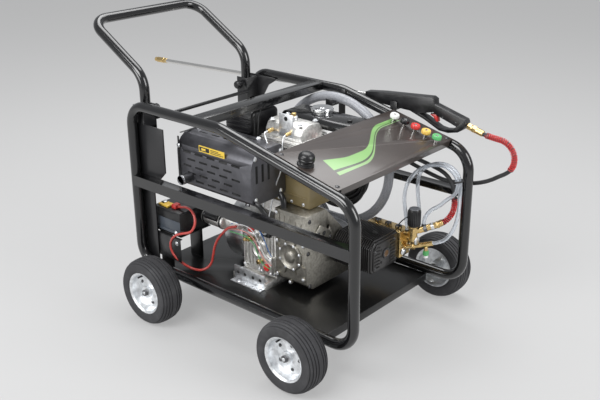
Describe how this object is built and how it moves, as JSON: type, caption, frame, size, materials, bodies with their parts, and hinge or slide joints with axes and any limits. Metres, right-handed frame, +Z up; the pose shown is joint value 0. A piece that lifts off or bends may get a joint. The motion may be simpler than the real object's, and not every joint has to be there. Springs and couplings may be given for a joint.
{
  "type": "pressure washer",
  "caption": "Engine-driven pressure washer on a wheeled tubular trolley, with pump, hanging hose coils, spray gun and lance, nozzle panel and fold-down handle.",
  "frame": {"origin": "on the floor, under the middle of the machine and its lance", "axes": "+X towards the pump and control panel, +Y the hose and lance side, +Z up"},
  "size_m": [1.8775, 0.959, 1.0604],
  "materials": {
    "frame_black": "gloss black paint",
    "satin_black": "satin black paint",
    "rim_zinc": "zinc plated, mottled",
    "tyre_rubber": "matt grey-black",
    "panel_grey": "satin dark brown-grey with a green swoosh",
    "steel": "bright",
    "black_plastic": "satin black",
    "white_plastic": "gloss",
    "red_plastic": "gloss",
    "yellow_plastic": "gloss",
    "green_plastic": "gloss",
    "cast_aluminium": "as cast",
    "dark_casting": "dark painted casting",
    "olive_shroud": "olive-beige paint",
    "brass": "satin",
    "clear_hose": "translucent",
    "hose_rubber": "satin black",
    "cable_red": "gloss red"
  },
  "bodies": {
    "trolley": {"side_hoop_left": "frame_black", "side_hoop_right": "frame_black", "mid_rail_left": "frame_black", "mid_rail_right": "frame_black", "cross_beam": "frame_black", "base_tray": "satin_black", "handle_mount": "satin_black", "hose_hanger": "satin_black", "gun_holder": "satin_black", "muffler_shield": "satin_black", "fuel_tank": "satin_black", "air_cleaner": "satin_black", "water_inlet": "satin_black", "control_panel": "panel_grey", "axle_front": "steel", "axle_rear": "steel", "lance_tube": "steel", "key_switch": "black_plastic", "gun_body": "black_plastic", "battery": "black_plastic", "engine_crankcase": "cast_aluminium", "cylinder_head": "cast_aluminium", "blower_housing": "cast_aluminium", "starter_motor": "cast_aluminium", "bell_housing": "dark_casting", "pump_crankcase": "dark_casting", "cylinder_shroud": "olive_shroud", "pump_manifold": "brass", "unloader_body": "brass", "suction_hose_coil": "clear_hose", "suction_hose_tail": "clear_hose", "bypass_hose_1": "clear_hose", "bypass_hose_2": "clear_hose", "pressure_hose_coil": "hose_rubber", "pressure_hose_run_pump": "hose_rubber", "pressure_hose_run_gun": "hose_rubber", "battery_cable": "cable_red"},
    "push_handle": {"push_handle": "frame_black"},
    "clamp_left": {"handle_clamp_left": "black_plastic"},
    "clamp_right": {"handle_clamp_right": "black_plastic"},
    "wheel_front_left": {"tyre_front_left": "tyre_rubber", "rim_front_left": "rim_zinc"},
    "wheel_front_right": {"tyre_front_right": "tyre_rubber", "rim_front_right": "rim_zinc"},
    "wheel_rear_left": {"tyre_rear_left": "tyre_rubber", "rim_rear_left": "rim_zinc"},
    "wheel_rear_right": {"tyre_rear_right": "tyre_rubber", "rim_rear_right": "rim_zinc"},
    "nozzle_1": {"spray_nozzle_1": "white_plastic"},
    "nozzle_2": {"spray_nozzle_2": "black_plastic"},
    "nozzle_3": {"spray_nozzle_3": "red_plastic"},
    "nozzle_4": {"spray_nozzle_4": "yellow_plastic"},
    "nozzle_5": {"spray_nozzle_5": "green_plastic"},
    "key": {"ignition_key": "black_plastic"},
    "trigger": {"gun_trigger": "red_plastic"},
    "fuel_cap": {"fuel_cap": "steel"},
    "dipstick": {"oil_dipstick": "red_plastic"},
    "regulator_knob": {"unloader_knob": "black_plastic"},
    "crank": {"crankshaft": "steel"},
    "pump_cam": {"pump_shaft": "steel"}
  },
  "joints": [
    {"name": "wheel_front_left_spin", "type": "hinge", "parent": "trolley", "child": "wheel_front_left", "pos_m": [0.6855, 0.4325, 0.1269], "axis": [0, 1, 0], "continuous": true},
    {"name": "wheel_front_right_spin", "type": "hinge", "parent": "trolley", "child": "wheel_front_right", "pos_m": [0.6855, -0.4325, 0.1269], "axis": [0, 1, 0], "continuous": true},
    {"name": "wheel_rear_left_spin", "type": "hinge", "parent": "trolley", "child": "wheel_rear_left", "pos_m": [-0.0055, 0.4325, 0.1269], "axis": [0, 1, 0], "continuous": true},
    {"name": "wheel_rear_right_spin", "type": "hinge", "parent": "trolley", "child": "wheel_rear_right", "pos_m": [-0.0055, -0.4325, 0.1269], "axis": [0, 1, 0], "continuous": true},
    {"name": "handle_fold", "type": "hinge", "parent": "trolley", "child": "push_handle", "pos_m": [-0.175, 0, 0.668], "axis": [0, -1, 0], "range_deg": [0, 120]},
    {"name": "clamp_left_turn", "type": "hinge", "parent": "trolley", "child": "clamp_left", "pos_m": [-0.175, 0.2185, 0.745], "axis": [0, 1, 0], "range_deg": [0, 360]},
    {"name": "clamp_right_turn", "type": "hinge", "parent": "trolley", "child": "clamp_right", "pos_m": [-0.175, -0.2185, 0.745], "axis": [0, 1, 0], "range_deg": [0, 360]},
    {"name": "nozzle_1_lift", "type": "slide", "parent": "trolley", "child": "nozzle_1", "axis": [0.228, 0, 0.9737], "range_m": [0, 0.045]},
    {"name": "nozzle_2_lift", "type": "slide", "parent": "trolley", "child": "nozzle_2", "axis": [0.228, 0, 0.9737], "range_m": [0, 0.045]},
    {"name": "nozzle_3_lift", "type": "slide", "parent": "trolley", "child": "nozzle_3", "axis": [0.228, 0, 0.9737], "range_m": [0, 0.045]},
    {"name": "nozzle_4_lift", "type": "slide", "parent": "trolley", "child": "nozzle_4", "axis": [0.228, 0, 0.9737], "range_m": [0, 0.045]},
    {"name": "nozzle_5_lift", "type": "slide", "parent": "trolley", "child": "nozzle_5", "axis": [0.228, 0, 0.9737], "range_m": [0, 0.045]},
    {"name": "key_turn", "type": "hinge", "parent": "trolley", "child": "key", "pos_m": [0.6294, -0.288, 0.74713], "axis": [0.228, 0, 0.9737], "range_deg": [0, 90]},
    {"name": "trigger_pull", "type": "hinge", "parent": "trolley", "child": "trigger", "pos_m": [0.675, 0.37, 0.747], "axis": [0, -1, 0], "range_deg": [0, 18], "stiffness_Nm_per_rad": 0.6, "springref_deg": -2.86},
    {"name": "fuel_cap_turn", "type": "hinge", "parent": "trolley", "child": "fuel_cap", "pos_m": [0.33, 0.146, 0.75], "axis": [0, 0, 1], "range_deg": [0, 90]},
    {"name": "dipstick_pull", "type": "slide", "parent": "trolley", "child": "dipstick", "axis": [0, -1, 0], "range_m": [0, 0.08]},
    {"name": "regulator_turn", "type": "hinge", "parent": "trolley", "child": "regulator_knob", "pos_m": [0.709, 0.21, 0.4], "axis": [0, 0, 1], "range_deg": [0, 360]},
    {"name": "crank_spin", "type": "hinge", "parent": "trolley", "child": "crank", "pos_m": [0.24, 0, 0.275], "axis": [1, 0, 0], "continuous": true},
    {"name": "pump_spin", "type": "hinge", "parent": "trolley", "child": "pump_cam", "pos_m": [0.54, 0.06, 0.275], "axis": [1, 0, 0], "continuous": true}
  ],
  "couplings": [
    {"joint": "pump_spin", "follows": "crank_spin", "ratio": -0.5}
  ]
}
